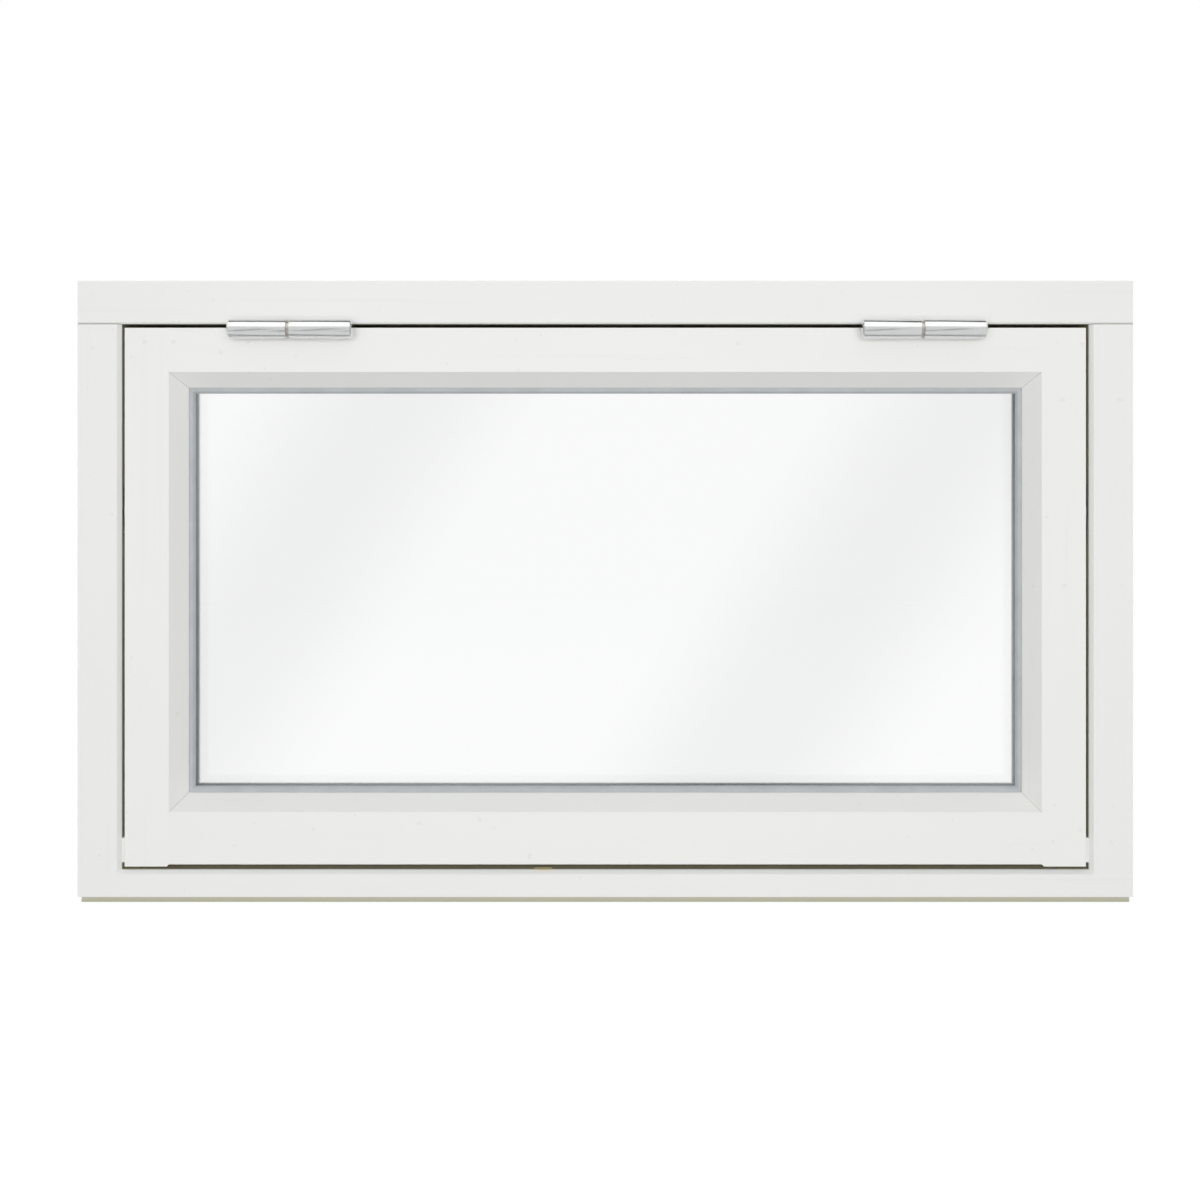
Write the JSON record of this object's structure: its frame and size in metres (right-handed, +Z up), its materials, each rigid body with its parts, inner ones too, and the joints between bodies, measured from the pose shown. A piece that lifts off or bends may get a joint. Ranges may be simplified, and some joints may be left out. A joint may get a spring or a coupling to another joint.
{
  "type": "top-hung window",
  "caption": "Small top-hung timber window: white frame, glazed sash on two lift-off hinges at its top edge, friction stays and a lever lock.",
  "frame": {"origin": "on the sill's seat (the lowest plane), at mid-width and mid-depth of the frame", "axes": "+X along the width, to the right seen from outside; +Y from the weather side into the room; +Z up"},
  "size_m": [0.98, 0.134, 0.58],
  "materials": {
    "frame_paint": "satin off-white paint on pine",
    "sash_paint": "satin off-white paint on pine",
    "clear_glass": "clear float glass",
    "spacer_metal": "dark warm-edge spacer",
    "butyl": "black butyl",
    "grey_gasket": "grey rubber gasket",
    "black_seal": "black rubber bulb seal",
    "white_nylon": "white nylon",
    "setting_block": "hard plastic block",
    "beech": "plain beech",
    "hinge_zinc": "bright zinc plate",
    "pin_steel": "drawn steel",
    "washer_brass": "plain brass",
    "plated_steel": "zinc-plated sheet",
    "track_aluminium": "mill-finish extrusion",
    "screw_steel": "zinc-plated steel",
    "handle_satin": "satin anodised"
  },
  "bodies": {
    "frame": {"frame_head": "frame_paint", "frame_jamb_left": "frame_paint", "frame_jamb_right": "frame_paint", "frame_sill": "frame_paint", "frame_corner_screws": "screw_steel", "frame_seal_head": "black_seal", "frame_seal_sill": "black_seal", "frame_seal_left": "black_seal", "frame_seal_right": "black_seal", "sash_guide_blocks": "white_nylon", "strike_plate_left": "plated_steel", "strike_plate_right": "plated_steel", "strike_screws": "screw_steel", "hinge_left_frame_leaf": "hinge_zinc", "hinge_right_frame_leaf": "hinge_zinc", "hinge_left_pin": "pin_steel", "hinge_right_pin": "pin_steel", "hinge_left_washer": "washer_brass", "hinge_right_washer": "washer_brass", "hinge_frame_screws": "screw_steel", "stay_bracket_left": "plated_steel", "stay_bracket_right": "plated_steel", "stay_bracket_screws": "screw_steel"},
    "sash": {"sash_stile_left": "sash_paint", "sash_stile_right": "sash_paint", "sash_rail_top": "sash_paint", "sash_rail_bottom": "sash_paint", "sash_dowels": "beech", "pane_outer": "clear_glass", "pane_inner": "clear_glass", "glass_spacer": "spacer_metal", "glass_edge_seal": "butyl", "glazing_gasket": "grey_gasket", "glazing_tape": "grey_gasket", "glazing_blocks": "setting_block", "bead_top": "sash_paint", "bead_bottom": "sash_paint", "bead_left": "sash_paint", "bead_right": "sash_paint", "bead_nails": "screw_steel", "hinge_left_sash_leaf": "hinge_zinc", "hinge_right_sash_leaf": "hinge_zinc", "hinge_sash_screws": "screw_steel", "stay_track_left": "track_aluminium", "stay_track_right": "track_aluminium", "stay_track_screws": "screw_steel", "lock_faceplate": "plated_steel", "lock_case": "plated_steel", "lock_screws": "screw_steel", "handle_rosette": "handle_satin", "rosette_screws": "screw_steel"},
    "handle": {"handle_lever": "handle_satin", "handle_spindle": "pin_steel", "lock_pinion": "pin_steel"},
    "lock_bar": {"lock_bar": "pin_steel", "lock_cams": "pin_steel"},
    "stay_left": {"stay_arm_left": "plated_steel", "stay_shoe_left": "white_nylon"},
    "stay_right": {"stay_arm_right": "plated_steel", "stay_shoe_right": "white_nylon"}
  },
  "joints": [
    {"name": "sash_swing", "type": "hinge", "parent": "frame", "child": "sash", "pos_m": [0, -0.0675, 0.535], "axis": [-1, 0, 0], "range_deg": [0, 50]},
    {"name": "handle_turn", "type": "hinge", "parent": "sash", "child": "handle", "pos_m": [0, -0.011, 0.068], "axis": [0, -1, 0], "range_deg": [0, 90]},
    {"name": "lock_slide", "type": "slide", "parent": "sash", "child": "lock_bar", "axis": [1, 0, 0], "range_m": [0, 0.01767]},
    {"name": "stay_left_turn", "type": "hinge", "parent": "frame", "child": "stay_left", "pos_m": [-0.44825, -0.04237, 0.36687], "axis": [-1, 0, 0], "range_deg": [0, 100]},
    {"name": "stay_right_turn", "type": "hinge", "parent": "frame", "child": "stay_right", "pos_m": [0.44825, -0.04237, 0.36687], "axis": [-1, 0, 0], "range_deg": [0, 100]}
  ],
  "couplings": [
    {"joint": "lock_slide", "follows": "handle_turn", "m_per_rad": 0.01125},
    {"joint": "stay_left_turn", "follows": "sash_swing", "ratio": 2},
    {"joint": "stay_right_turn", "follows": "sash_swing", "ratio": 2}
  ]
}
